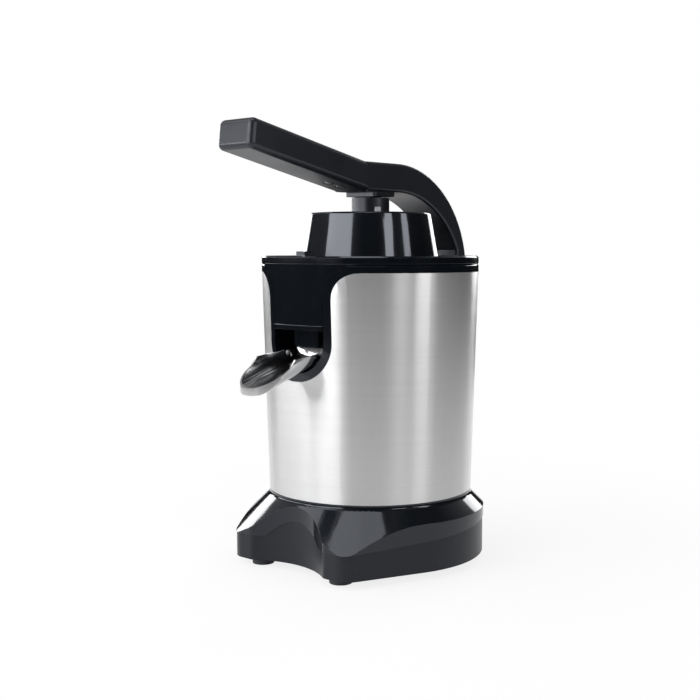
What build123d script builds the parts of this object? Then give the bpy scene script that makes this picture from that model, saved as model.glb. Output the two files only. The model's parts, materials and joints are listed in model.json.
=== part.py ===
"""Electric citrus juicer with a lever: millimetres, +Z up, the body's axis on Z, the front towards -Y."""

from build123d import *
import math
import os

# Clearances: fixed seats, pieces that pass each other, shafts in their bushes, and the overrun of cuts
seat_gap = 0.1
free_gap = 0.4
running_gap = 0.05
point_tolerance = 0.001
overrun = 6.0

# Feet and base
foot_height = 5.0
foot_radius = 7.5
foot_peg_radius = 2.5
base_height = 49.0
base_radius = 79.0
front_foot_shares = (0.462, -0.873)
rear_foot_shares = (0.734, 0.38)
leg_corner_shares = (0.658, 1.043)
leg_corner_radius_share = 0.152
scoop_front_share = 0.905
scoop_radius_share = 0.7215
scoop_corner_radius_share = 0.0886
skirt_wall = 2.5
skirt_ledge = 3.0
ledge_height = 2.0
neck_inset = 9.0
neck_height = 1.0
flare_radius = 4.0
flare_angle = 46.0
seam_height = 27.0
seam_tilt = 3.7
seam_cone_share = 1.25
seam_cone_angle = 38.0
shell_wall = 2.5
bead = 0.6
plate_thickness = 2.5
cord_hole_radius = 6.0
cord_bore_radius = 3.6
cord_hole_height_share = 0.245
grommet_flange = 2.0

# Steel sleeve with its front notch
sleeve_height = 150.0
sleeve_foot_step = 0.5
sleeve_top_radius = 74.9
sleeve_wall = 0.8
notch_depth = 71.0
notch_half = 28.0
notch_corner = 26.0
notch_flare = 17.0

# Inner body and collar
body_wall = 2.5
sleeve_gap = 0.25
body_flange_radius = 56.0
post_radius = 4.5
post_inset = 9.5
post_angles = (60.0, 120.0, 215.0, 325.0)
deck_thickness = 2.5
deck_gap = 4.0
deck_hole_radius = 6.0
rim_radius = 75.0
collar_height = 5.0
seam_chamfer = 0.7
collar_bore_radius = 66.0
trim_width = 5.4
pocket_wall = 2.0
pocket_back = 46.0

# Juice collector, strainer and seal
rim_height = 5.6
rim_chamfer = 1.0
bowl_radius = 62.0
bowl_wall = 2.0
bowl_depth = 32.6
bowl_floor_wall = 2.5
tongue_wall = 3.0
tongue_drop = 42.0
lip_height = 2.8
lip_proud = 1.2
tongue_inset = 0.2
outlet_half = 9.0
outlet_front = 61.0
outlet_back = 56.5
outlet_wall = 2.0
outlet_length = 27.0
tube_radius = 9.0
tube_wall = 2.0
tube_height = 9.0
seal_height = 4.0
strainer_wall = 1.5
strainer_rim_radius = 60.0
strainer_hole_radius = 33.0
strainer_plate_height = 5.0
strainer_rim_height = 9.0
strainer_slots = 40
slot_length = 15.0
slot_width = 2.0
tab_half = 3.8
tab_reach = 8.0
tab_thickness = 3.0

# Reaming cone and drive shaft
press_travel = 2.5
cone_radius = 30.0
cone_height = 39.5
cone_lift = 12.5
cone_wall = 2.5
cone_mid_radius_share = 0.66
cone_mid_height_share = 0.5
cone_tip_radius = 3.0
cone_hub_radius = 7.5
cone_hub_lift = 5.0
cone_ribs = 10
rib_thickness = 2.4
rib_proud = 1.8
shaft_radius = 4.0
shaft_in_cone = 25.0
clip_radius = 6.5
clip_thickness = 1.5

# Press cap that hangs under the lever
cap_rim_radius = 47.2
cap_top_radius = 42.0
cap_rise = 29.3
cap_skirt = 10.7
cap_wall = 2.5
cap_edge_radius = 1.6
hub_radius = 13.2
hub_height = 10.3
stem_half_x = 5.0
stem_half_y = 6.0
stem_height = 13.0
stem_swing = 2.0
cap_pin_height = 8.7
cap_pin_radius = 2.5
liner_wall = 1.8
liner_lift = 2.0
liner_gap = 1.5
liner_mid_radius_share = 0.78
liner_mid_height_share = 0.68
liner_ribs = 8
liner_rib_depth = 1.6
hub_clip_angle = -26.0
hub_clip_size = (2.0, 4.5, 4.0)

# Lever with its arch, hinge and grip
lever_half = 16.0
lever_rise = 23.5
arm_thickness = 19.6
arch_outer_radius = 77.0
arch_thinning = 4.0
arch_inner_end_share = 0.4575
hinge_setback = 8.0
knuckle_radius = 7.0
hinge_drop = 2.0
hinge_pin_radius = 3.0
hinge_pin_head = 4.6
hinge_pin_head_length = 1.6
ear_thickness = 4.0
ear_radius = 8.6
lever_edge_radius = 2.2
boss_half_y = 11.0
boss_gap = 0.8
grip_joint_y = 19.0
grip_end_y = 125.2
grip_rise = 11.8
grip_end_lean = 2.2
grip_edge_radius = 4.0
grip_tongue_half = 9.0
grip_tongue_thickness = 7.0
grip_tongue_length = 28.0
grip_screw_shares = (0.35, 0.75)

# Tilting spout
spout_half = 18.5
spout_corner_radius = 11.0
spout_wall = 1.2
spout_slope = 18.4
spout_nose = 115.0
spout_rear = 54.5
spout_pivot_y = 64.0
spout_pivot_drop = 54.0
spout_floor_drop = 2.27
spout_pin_radius = 2.0
spout_wall_top = 4.0
ear_front = 91.0
ear_drop = 4.5
ear_step = 4.0
ear_step_drop = 5.2
nose_rise = 4.2

# Gear train
tooth_module = 1.0
pressure_angle = 25.0
addendum_share = 0.9
dedendum_share = 1.15
backlash_share = 0.1
flank_shares = (0, 0.25, 0.5, 0.75, 1)
half_tooth_share = 0.5
output_teeth = 56
idler_pinion_teeth = 14
idler_wheel_teeth = 48
motor_pinion_teeth = 12
motor_direction = 150.0
wheel_width = 7.5
output_width = 9.0
pinion_width = 8.0
gear_hub_radius = 8.0
arbor_radius = 3.0
chamber_height = 26.0
chamber_margin = 2.2
chamber_play = 1.0
gear_gap = 1.5
case_wall = 2.5
case_floor = 3.0
cover_thickness = 3.5
standoff_height = 18.5
standoff_radius = 4.0
standoff_angle = 45.0
bush_wall = 3.0
bush_height = 8.0
bush_boss_wall = 3.0
lower_bush_height = 7.0
spring_height = 7.5
spring_wire = 1.0
spring_turns = 5
spring_radius = 6.6
cup_radius = 9.0
cup_thickness = 3.0
cup_arm_length = 26.0
cup_arm_half = 4.0

# Micro switch under the cup's arm
switch_size = (20.0, 10.0, 8.0)
switch_place = -22.0
plunger_radius = 1.6
plunger_depth = 3.0

# Motor
motor_drop_share = 0.12
stator_height_share = 0.35
bracket_drop_share = 0.235
stator_radius = 30.0
stator_bore = 17.8
coil_overhang_share = 0.31
coil_inner = 19.0
coil_outer = 28.0
coil_half = 15.0
rotor_radius = 17.3
rotor_slots = 12
rotor_slot_depth = 9.0
rotor_slot_width = 2.2
motor_shaft_radius = 3.0
commutator_radius = 9.0
commutator_height_share = 0.385
commutator_drop_share = 0.77
bracket_thickness = 3.0
bracket_half = 9.0
motor_bolt_circle = 24.5
motor_bolt_radius = 2.0
fan_radius = 26.0
fan_hub_radius = 7.0
fan_height = 8.0
fan_gap = 1.5
fan_blades = 9
fan_blade_thickness = 1.4
brush_half = 3.0
brush_length = 12.0
brush_box_wall = 1.0

# Screws
screw_radius = 1.8
screw_head_radius = 3.4
screw_head_height = 2.0
screw_length = 12.0

# The base's plan, worked out from its radius
leg_corner_x = base_radius * leg_corner_shares[0]
leg_corner_y = base_radius * leg_corner_shares[1]
leg_corner_radius = base_radius * leg_corner_radius_share
scoop_front = base_radius * scoop_front_share
scoop_radius = base_radius * scoop_radius_share
scoop_corner_radius = base_radius * scoop_corner_radius_share
cord_hole_height = base_height * cord_hole_height_share
neck_radius = base_radius - neck_inset
sleeve_foot_radius = neck_radius + sleeve_foot_step
post_circle = sleeve_foot_radius - post_inset

# Heights above the table, worked out from the sizes above
plate_top = foot_height + plate_thickness
sleeve_top = base_height + sleeve_height
collar_top = sleeve_top + collar_height
rim_low = collar_top + seat_gap
rim_top = rim_low + rim_height
bowl_floor = rim_top - bowl_depth
deck_top = bowl_floor - bowl_floor_wall - deck_gap
deck_low = deck_top - deck_thickness
cover_top = deck_low - standoff_height
cover_low = cover_top - cover_thickness
chamber_low = cover_low - chamber_height
case_low = chamber_low - case_floor
notch_floor = sleeve_top - notch_depth
tongue_low = collar_top - tongue_drop
cone_low = bowl_floor + cone_lift
cone_top = cone_low + cone_height
cap_top = rim_top + cap_rise
cap_low = rim_top - cap_skirt
hub_top = cap_top + hub_height
cap_pin_z = hub_top + cap_pin_height
boss_low = hub_top + boss_gap
lever_top = hub_top + lever_rise
arm_low = lever_top - arm_thickness
hinge_z = sleeve_top - hinge_drop
spout_pivot_z = sleeve_top - spout_pivot_drop
motor_room = case_low - plate_top
stator_height = motor_room * stator_height_share
bracket_drop = motor_room * bracket_drop_share
coil_overhang = bracket_drop * coil_overhang_share
commutator_height = bracket_drop * commutator_height_share
commutator_drop = bracket_drop * commutator_drop_share
stator_top = case_low - motor_room * motor_drop_share
stator_low = stator_top - stator_height
bracket_top = stator_low - bracket_drop + bracket_thickness
bracket_low = stator_low - bracket_drop
bush_top = cover_low + bush_height
cup_low = bush_top + spring_height
wheel_low = chamber_low + chamber_play
wheel_top = wheel_low + wheel_width
output_low = wheel_top + press_travel + gear_gap
shaft_low = case_low + press_travel + chamber_play
shaft_top = cone_low + shaft_in_cone
plunger_low = cover_top + switch_size[2] - plunger_depth
fan_low = bracket_low - screw_head_height - fan_gap - fan_height
brush_z = stator_low - commutator_drop + commutator_height / 2
spout_floor = spout_pivot_z - spout_floor_drop

# The lever's arch, worked out from its radius and the hinge
hinge_y = rim_radius + hinge_setback
arch_inner_radius = arch_outer_radius - arch_thinning
arch_inner_end = arch_inner_radius * arch_inner_end_share
arch_rise = hinge_z - lever_top + arch_outer_radius
arch_start = hinge_y - math.sqrt((arch_outer_radius - knuckle_radius) ** 2 - arch_rise**2)

# Gear centres
idler_x = tooth_module * (output_teeth + idler_pinion_teeth) / 2
motor_centre = tooth_module * (idler_wheel_teeth + motor_pinion_teeth) / 2
motor_x = idler_x + motor_centre * math.cos(math.radians(motor_direction))
motor_y = motor_centre * math.sin(math.radians(motor_direction))
motor_at = (motor_x, motor_y)
idler_at = (idler_x, 0)

UPRIGHT = (Align.CENTER, Align.CENTER, Align.MIN)


def disc(radius, low, high, at=(0, 0)):
    """A cylinder about a vertical axis, between two heights."""
    return Pos(at[0], at[1], low) * Cylinder(radius, high - low, align=UPRIGHT)


def tube(inner, outer, low, high, at=(0, 0)):
    """A round tube about a vertical axis."""
    return disc(outer, low, high, at) - disc(inner, low - overrun, high + overrun, at)


def block(x_span, y_span, z_span):
    """A box between pairs of coordinates."""
    sizes = [high - low for low, high in (x_span, y_span, z_span)]
    middle = [(high + low) / 2 for low, high in (x_span, y_span, z_span)]
    return Pos(*middle) * Box(*sizes)


def rod_x(radius, low, high, y, z):
    """A cylinder along X."""
    return Pos((low + high) / 2, y, z) * Rot(0, 90, 0) * Cylinder(radius, abs(high - low))


def turned(edges):
    """A solid of revolution about Z from a closed outline of radius and height."""
    return revolve(Plane.XZ * make_face(edges), Axis.Z)


def turned_points(*points):
    """A solid of revolution from straight lines through points of radius and height."""
    return turned(Polyline(*points, close=True).edges())


def arc_about(centre, radius, start, end):
    """An arc about a centre between two angles in degrees."""
    places = []
    for angle in (start, (start + end) / 2, end):
        turn = math.radians(angle)
        places.append((centre[0] + radius * math.cos(turn), centre[1] + radius * math.sin(turn)))
    return ThreePointArc(*places)


def joined_outline(*pieces):
    """Arcs with straight lines between their ends, closed into one list of edges."""
    edges = []
    for piece, following in zip(pieces, pieces[1:] + pieces[:1]):
        edges.append(piece.edge())
        if (piece @ 1 - following @ 0).length > point_tolerance:
            edges.append(Line(piece @ 1, following @ 0).edge())
    return edges


def around(count):
    """Evenly spaced turns about Z."""
    return [Rot(0, 0, 360 * step / count) for step in range(count)]


def screw(length, at, low, pointing=1):
    """A round-headed screw about a vertical axis; its head is under or over the given height."""
    head_low = low - screw_head_height if pointing > 0 else low
    shank_low = low if pointing > 0 else low - length
    head = disc(screw_head_radius, head_low, head_low + screw_head_height, at)
    slot = Pos(at[0], at[1], head_low if pointing > 0 else head_low + screw_head_height)
    head -= slot * Box(screw_head_radius, screw_radius / 2, screw_head_height)
    return head + disc(screw_radius, shank_low, shank_low + length, at)


def body_radius(height):
    """The outer radius of the tapered steel sleeve at a height."""
    share = (height - base_height) / sleeve_height
    return sleeve_foot_radius + (sleeve_top_radius - sleeve_foot_radius) * share


def tapered(inset, low, high):
    """The sleeve's tapered outer form, drawn in all round by an inset."""
    foot = body_radius(low) - inset
    top = body_radius(high) - inset
    return turned_points((0, low), (foot, low), (top, high), (0, high))


def tapered_wall(inset, wall, low, high):
    """A tapered wall that follows the sleeve."""
    return tapered(inset, low, high) - tapered(inset + wall, low, high)


def notch(inset, front, back):
    """The front notch as a solid along Y, drawn in by an inset, between two distances from the axis."""
    corner = notch_corner - inset
    middle = notch_half - notch_corner
    curve = notch_flare + inset
    floor_z = notch_floor + notch_corner
    flare_z = sleeve_top - notch_flare
    flare_x = notch_half + notch_flare
    top = rim_top + overrun
    outline = joined_outline(
        arc_about((-flare_x, flare_z), curve, 90, 0),
        arc_about((-middle, floor_z), corner, 180, 270),
        arc_about((middle, floor_z), corner, 270, 360),
        arc_about((flare_x, flare_z), curve, 180, 90),
        Line((flare_x, top), (-flare_x, top)),
    )
    return Pos(0, -back, 0) * extrude(Plane.XZ * make_face(outline), front - back)


def plan_face(inset):
    """The base's plan: a disc with two front legs and a shallow scoop between them for a glass."""
    corner_reach = math.hypot(leg_corner_x, leg_corner_y)
    touch = math.acos(base_radius / corner_reach) - math.atan2(leg_corner_y, leg_corner_x)
    side = (base_radius * math.cos(touch), base_radius * math.sin(touch))
    left_side = (-side[0], side[1])
    corners = [(x, -leg_corner_y) for x in (leg_corner_x, -leg_corner_x)]
    legs = Polyline(side, *corners, left_side, close=True)
    scoop = Pos(0, -scoop_front - scoop_radius) * Circle(scoop_radius)
    plan = Circle(base_radius) + make_face(legs) - scoop
    scoop_x = math.sqrt(scoop_radius**2 - (scoop_front + scoop_radius - leg_corner_y) ** 2)
    for x, radius in ((leg_corner_x, leg_corner_radius), (scoop_x, scoop_corner_radius)):
        corners = [v for v in plan.vertices() if v.Y < -scoop_front and abs(abs(v.X) - x) < seat_gap]
        plan = fillet(corners, radius)
    return offset(plan, amount=-inset) if inset else plan


def plan_solid(inset, low, high):
    """The base's plan drawn in by an inset, as a solid between two heights."""
    return Pos(0, 0, low) * extrude(plan_face(inset), high - low)


def flare_region(depth):
    """The solid of revolution under the base's flared top, drawn in by a depth square to its surface."""
    centre = (neck_radius + flare_radius, base_height - neck_height)
    curve = arc_about(centre, flare_radius + depth, 180, 180 + flare_angle)
    reach = leg_corner_x + leg_corner_y
    run = reach - (curve @ 1).X
    fall = run / math.tan(math.radians(flare_angle))
    outline = [
        Line((0, base_height), (neck_radius - depth, base_height)),
        Line((neck_radius - depth, base_height), curve @ 0),
        curve,
        Line(curve @ 1, (reach, (curve @ 1).Y - fall)),
        Line((reach, (curve @ 1).Y - fall), (reach, -reach)),
        Line((reach, -reach), (0, -reach)),
        Line((0, -reach), (0, base_height)),
    ]
    return turned([line.edge() for line in outline])


def below_seam(gap):
    """All that lies under the seam between the base's shell and its skirt, lowered by a gap."""
    reach = leg_corner_x + leg_corner_y
    slab = Pos(0, 0, -reach / 2) * Box(2 * reach, 2 * reach, reach)
    foot = base_radius * seam_cone_share
    top = foot - base_height * math.tan(math.radians(seam_cone_angle))
    cone = Cone(foot, top, base_height, align=UPRIGHT)
    return Pos(0, 0, seam_height - gap) * Rot(seam_tilt, 0, 0) * slab + Pos(0, 0, -gap) * cone


def base_skirt():
    """The upright wall round the base, with a ledge over the bottom plate and a hole for the lead."""
    wall = plan_solid(0, foot_height, base_height) - plan_solid(skirt_wall, 0, base_height + overrun)
    inner = skirt_wall + skirt_ledge
    ledge_top = plate_top + seat_gap + ledge_height
    ledge = plan_solid(skirt_wall, plate_top + seat_gap, ledge_top)
    ledge -= plan_solid(inner, 0, ledge_top + overrun)
    hole = Pos(0, base_radius, foot_height + cord_hole_height) * Rot(90, 0, 0)
    hole *= Cylinder(cord_hole_radius, skirt_wall + overrun)
    return ((wall + ledge) & below_seam(seat_gap)) - hole


def base_shell():
    """The glossy flared top of the base, with a neck under the sleeve and a bead over the skirt."""
    outside = flare_region(0) & plan_solid(-bead, 0, base_height)
    hollow = flare_region(shell_wall) & plan_solid(shell_wall, -overrun, base_height + overrun)
    return outside - hollow - below_seam(0)


def bottom_plate():
    """The flat plate that closes the base, drilled for its screws and the pegs of the feet."""
    plate = plan_solid(skirt_wall + free_gap, foot_height, plate_top)
    for at in post_places():
        plate -= disc(screw_radius + seat_gap, 0, plate_top + overrun, at)
    for at in foot_places():
        plate -= disc(foot_peg_radius + seat_gap, 0, plate_top + overrun, at)
    return plate


def post_places():
    """Where the posts for the base screws stand."""
    turns = [math.radians(angle) for angle in post_angles]
    return [(post_circle * math.cos(turn), post_circle * math.sin(turn)) for turn in turns]


def foot_places():
    """Where the four feet stand, in mirrored pairs."""
    pairs = (front_foot_shares, rear_foot_shares)
    return [(side * base_radius * x, base_radius * y) for x, y in pairs for side in (1, -1)]


def rubber_feet():
    """Four round feet with pegs through the bottom plate."""
    feet = []
    for at in foot_places():
        foot = disc(foot_radius, 0, foot_height - seat_gap, at)
        feet.append(foot + disc(foot_peg_radius, 0, plate_top, at))
    return Compound(feet)


def base_screws():
    """The screws that hold the bottom plate to the posts of the inner body."""
    return Compound([screw(screw_length, at, foot_height - seat_gap) for at in post_places()])


def cord_grommet():
    """The flanged grommet of the lead's inlet at the back of the base."""
    length = skirt_wall + grommet_flange
    flange_radius = cord_hole_radius + grommet_flange
    body = Cylinder(cord_hole_radius - seat_gap, length, align=UPRIGHT)
    flange = Cylinder(flange_radius, grommet_flange, align=UPRIGHT)
    bore = Cylinder(cord_bore_radius, length + overrun)
    place = Pos(0, base_radius + grommet_flange + seat_gap, foot_height + cord_hole_height) * Rot(90, 0, 0)
    return place * (body + flange - bore - Pos(0, 0, length) * bore)


def steel_sleeve():
    """The tapered steel sleeve with its front notch."""
    wall = tapered_wall(0, sleeve_wall, base_height, sleeve_top)
    return wall - notch(-seat_gap, body_radius(sleeve_top) + overrun, 0)


def inner_body():
    """The plastic body inside the sleeve, with a deck under the bowl and posts for the base screws."""
    inset = sleeve_wall + sleeve_gap
    body = tapered_wall(inset, body_wall, base_height, sleeve_top - seat_gap)
    body += tapered(inset + seat_gap, deck_low, deck_top)
    body += tapered(inset + seat_gap, base_height, base_height + body_wall) - disc(
        body_flange_radius, base_height - overrun, base_height + overrun
    )
    for at in post_places():
        body += disc(post_radius, plate_top + seat_gap, base_height + body_wall, at)
        body -= disc(screw_radius + seat_gap, 0, plate_top + screw_length, at)
    body -= disc(deck_hole_radius, deck_low - overrun, deck_top + overrun)
    for at in standoff_places():
        body -= disc(screw_radius + seat_gap, deck_low - overrun, deck_top + overrun, at)
    back = pocket_back - pocket_wall - seat_gap
    return body - notch(trim_width - pocket_wall - seat_gap, body_radius(sleeve_top) + overrun, back)


def upper_collar():
    """The black collar over the sleeve: its ring, the notch's trim and pocket, and the hinge ears."""
    front = body_radius(sleeve_top) + overrun
    opening = notch(trim_width, front, pocket_back)
    ring = tube(collar_bore_radius, rim_radius, sleeve_top, collar_top)
    ring = chamfer(ring.faces().sort_by(Axis.Z)[-1].outer_wire().edges(), seam_chamfer)
    trim = notch(0, front, 0) & tapered_wall(0, sleeve_wall, notch_floor - overrun, sleeve_top)
    walls = notch(trim_width - pocket_wall, front, pocket_back - pocket_wall)
    walls &= tapered(0, notch_floor - overrun, sleeve_top)
    walls -= disc(collar_bore_radius, deck_top + pocket_wall, rim_top)
    collar = ring + trim + walls - opening
    for side in (1, -1):
        collar -= rod_x(spout_pin_radius + seat_gap, 0, side * notch_half, -spout_pivot_y, spout_pivot_z)
    return collar + hinge_ears()


def hinge_ears():
    """The two ears on the back of the collar that carry the lever's pin."""
    inner = lever_half + free_gap
    outer = inner + ear_thickness
    knuckle = rod_x(ear_radius, inner, outer, hinge_y, hinge_z)
    root = block((inner, outer), (collar_bore_radius, hinge_y), (sleeve_top, collar_top))
    heel = block((inner, outer), (collar_bore_radius, hinge_y), (hinge_z - ear_radius, sleeve_top))
    heel -= tapered(-seat_gap, hinge_z - ear_radius - overrun, sleeve_top)
    ear = knuckle + root + heel
    ear -= disc(collar_bore_radius, 0, rim_top)
    ear -= tapered(-seat_gap, base_height, sleeve_top)
    ear -= rod_x(hinge_pin_radius + seat_gap, 0, rim_radius, hinge_y, hinge_z)
    return ear + mirror(ear, Plane.YZ)


def hinge_pin():
    """The steel pin of the lever's hinge, with a head at each end."""
    reach = lever_half + free_gap + ear_thickness + seat_gap
    pin = rod_x(hinge_pin_radius, -reach, reach, hinge_y, hinge_z)
    for side in (1, -1):
        pin += rod_x(hinge_pin_head, side * reach, side * (reach + hinge_pin_head_length), hinge_y, hinge_z)
    return pin


def juice_collector():
    """The bowl that lifts out, with a rim, a front tongue in the notch and an outlet over the spout."""
    rim = tube(bowl_radius, rim_radius, rim_low, rim_top)
    rim = chamfer(rim.faces().sort_by(Axis.Z)[-1].outer_wire().edges(), rim_chamfer)
    rim = chamfer(rim.faces().sort_by(Axis.Z)[0].outer_wire().edges(), seam_chamfer)
    wall = tube(bowl_radius, bowl_radius + bowl_wall, bowl_floor, rim_low + rim_height / 2)
    floor = disc(bowl_radius + bowl_wall, bowl_floor - bowl_floor_wall, bowl_floor)
    opening = notch(trim_width + free_gap, rim_radius + overrun, 0)
    tongue = opening & tapered_wall(tongue_inset, tongue_wall, tongue_low, rim_low + rim_chamfer)
    lip_inset = tongue_inset - lip_proud
    tongue += opening & tapered_wall(lip_inset, tongue_wall, tongue_low, tongue_low + lip_height)
    centre = disc(tube_radius + tube_wall, bowl_floor - bowl_floor_wall, bowl_floor + tube_height)
    collector = rim + wall + floor + tongue + centre + outlet_duct(outlet_wall, 0)
    collector -= outlet_duct(0, overrun)
    return collector - disc(tube_radius, 0, bowl_floor + tube_height + overrun)


def outlet_duct(wall, beyond):
    """The way from the bowl's floor down to the spout, grown by a wall and run on beyond its ends."""
    width = (-outlet_half - wall, outlet_half + wall)
    depth = (-outlet_front - wall, -outlet_back + wall)
    return block(width, depth, (bowl_floor - outlet_length - beyond, bowl_floor + beyond))


def shaft_seal():
    """The seal in the bowl's centre tube, round the drive shaft."""
    top = bowl_floor + tube_height
    return tube(shaft_radius + running_gap, tube_radius - running_gap, top - seal_height, top)


def strainer():
    """The slotted strainer that stands in the bowl, with a tab over the rim to lift it by."""
    plate_low = bowl_floor + strainer_plate_height
    plate = tube(strainer_hole_radius, strainer_rim_radius, plate_low, plate_low + strainer_wall)
    top = bowl_floor + strainer_rim_height
    lip = tube(strainer_hole_radius, strainer_hole_radius + strainer_wall, plate_low, top)
    inner = strainer_rim_radius - strainer_wall
    leg = tube(inner, strainer_rim_radius, bowl_floor, top)
    sieve = plate + lip + leg
    middle = (strainer_hole_radius + inner) / 2
    slot = Pos(middle, 0, plate_low) * Box(slot_length, slot_width, overrun)
    for turn in around(strainer_slots):
        sieve -= turn * slot
    way = (bowl_floor - overrun, plate_low)
    sieve -= block((-outlet_half, outlet_half), (-rim_radius, -outlet_back), way)
    tab_low = rim_top + seat_gap
    tab_top = tab_low + tab_thickness
    upright = block((-tab_half, tab_half), (-strainer_rim_radius, -inner), (plate_low, tab_top))
    tab = block((-tab_half, tab_half), (-strainer_rim_radius - tab_reach, -inner), (tab_low, tab_top))
    return sieve + upright + tab


def cone_form(proud):
    """The convex cone of revolution, grown all round by an amount."""
    mid = (cone_radius * cone_mid_radius_share + proud, cone_low + cone_height * cone_mid_height_share)
    curve = ThreePointArc((cone_radius + proud, cone_low), mid, (cone_tip_radius + proud, cone_top + proud))
    outline = joined_outline(curve, Line((0, cone_top + proud), (0, cone_low)))
    return turned(outline)


def reamer_cone():
    """The ribbed cone that reams the fruit, hollow underneath, on a hub that fits the shaft."""
    ribs = cone_form(rib_proud) - disc(cone_radius + overrun, cone_top, cone_top + overrun)
    blade = block((0, cone_radius + overrun), (-rib_thickness / 2, rib_thickness / 2), (cone_low, cone_top))
    cone = cone_form(0)
    for turn in around(cone_ribs):
        cone += ribs & (turn * blade)
    hollow = cone_form(-cone_wall) - disc(cone_hub_radius, cone_low + cone_hub_lift, cone_top + overrun)
    cone -= hollow - disc(cone_radius, cone_top - cone_hub_lift, cone_top + overrun)
    return cone - disc(shaft_radius + seat_gap, cone_low - overrun, shaft_top + seat_gap)


def drive_shaft():
    """The steel shaft from the gearbox up through the bowl into the cone."""
    return disc(shaft_radius, shaft_low, shaft_top)


def shaft_clip():
    """The clip on the shaft that bears on the thrust cup."""
    low = cup_low + cup_thickness + seat_gap
    return tube(shaft_radius + seat_gap, clip_radius, low, low + clip_thickness)


def gear_face(teeth, phase):
    """An involute gear's outline: straight facets along each flank, turned by a share of a tooth."""
    pitch = tooth_module * teeth / 2
    base = pitch * math.cos(math.radians(pressure_angle))
    root = pitch - tooth_module * dedendum_share
    tip = pitch + tooth_module * addendum_share
    slope = math.radians(pressure_angle)
    half = (math.pi / 2 - backlash_share) / teeth + math.tan(slope) - slope
    start = max(base, root)
    flank = []
    for share in flank_shares:
        radius = start + (tip - start) * share
        roll = math.acos(min(1, base / radius))
        flank.append((radius, half - math.tan(roll) + roll))
    rising = [(root, flank[0][1])] + flank if root < start else flank
    points = []
    for tooth in range(teeth):
        middle = 2 * math.pi * (tooth + phase) / teeth
        outline = [(r, middle - a) for r, a in rising] + [(r, middle + a) for r, a in reversed(rising)]
        points += [(r * math.cos(a), r * math.sin(a)) for r, a in outline]
    return make_face(Polyline(*points, close=True))


def mesh_phase(teeth, partner_teeth, direction):
    """The share of a tooth that turns a gear into mesh with a partner that sees it in a direction."""
    partner = partner_teeth * direction / 360
    return teeth * (direction + 180) / 360 + partner - half_tooth_share


def gear(teeth, phase, low, high, at=(0, 0)):
    """A spur gear between two heights."""
    return Pos(at[0], at[1], low) * extrude(gear_face(teeth, phase), high - low)


def output_gear():
    """The large gear on the drive shaft, with a hub up to the cover's bush."""
    wheel = gear(output_teeth, 0, output_low, output_low + output_width)
    wheel += disc(gear_hub_radius, output_low, cover_low - free_gap)
    return wheel - disc(shaft_radius + seat_gap, 0, cover_low)


def idler_gear():
    """The cluster gear between the motor and the output: a large wheel with a long pinion on top."""
    wheel = gear(idler_wheel_teeth, 0, wheel_low, wheel_top, idler_at)
    turn = mesh_phase(idler_pinion_teeth, output_teeth, 0)
    pinion = gear(idler_pinion_teeth, turn, wheel_top, cover_low - chamber_play, idler_at)
    return wheel + pinion - disc(arbor_radius + seat_gap, 0, cover_low, idler_at)


def idler_arbor():
    """The steel arbor that the cluster gear turns on."""
    return disc(arbor_radius, case_low, cover_top, idler_at)


def motor_pinion():
    """The small gear on the motor's shaft."""
    turn = mesh_phase(motor_pinion_teeth, idler_wheel_teeth, motor_direction)
    pinion = gear(motor_pinion_teeth, turn, wheel_low, wheel_low + pinion_width, motor_at)
    return pinion - disc(motor_shaft_radius + seat_gap, 0, cover_low, motor_at)


def gear_hull(margin, low, high):
    """A solid round both gears of the train, grown by a margin."""
    output_tip = tooth_module * (output_teeth / 2 + addendum_share) + margin
    wheel_tip = tooth_module * (idler_wheel_teeth / 2 + addendum_share) + margin
    rounds = Circle(output_tip).edges() + (Pos(idler_x, 0) * Circle(wheel_tip)).edges()
    return Pos(0, 0, low) * extrude(make_hull(rounds), high - low)


def standoff_places():
    """Where the gearbox screws run, just outside the gear chamber."""
    output_reach = tooth_module * (output_teeth / 2 + addendum_share) + chamber_margin + standoff_radius
    wheel_reach = tooth_module * (idler_wheel_teeth / 2 + addendum_share) + chamber_margin + standoff_radius
    places = []
    for side in (1, -1):
        turn = math.radians(standoff_angle)
        places.append((-output_reach * math.cos(turn), side * output_reach * math.sin(turn)))
        places.append((idler_x + wheel_reach * math.cos(turn), side * wheel_reach * math.sin(turn)))
    return places


def motor_bolt_places():
    """Where the two long motor bolts run."""
    return [(motor_x + side * motor_bolt_circle, motor_y) for side in (1, -1)]


def gearbox_case():
    """The gearbox's lower half: a cup round the gears, bosses for the bushes and spacers for the motor."""
    case = gear_hull(chamber_margin + case_wall, case_low, cover_low)
    for at in standoff_places():
        case += disc(standoff_radius, case_low, cover_low, at)
    case -= gear_hull(chamber_margin, chamber_low, cover_low + overrun)
    bush_outer = shaft_radius + bush_wall + seat_gap
    case += disc(bush_outer + bush_boss_wall / 2, case_low, case_low + lower_bush_height)
    case -= disc(bush_outer, 0, cover_low)
    case -= disc(arbor_radius + bush_wall + seat_gap, 0, cover_low, idler_at)
    case -= disc(motor_shaft_radius + bush_wall + seat_gap, 0, cover_low, motor_at)
    for at in standoff_places():
        case -= disc(screw_radius + seat_gap, 0, cover_low + overrun, at)
    for at in motor_bolt_places():
        case += disc(standoff_radius, stator_top, case_low, at)
        case -= disc(motor_bolt_radius + seat_gap, 0, case_low + case_floor / 2, at)
    return case


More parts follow.
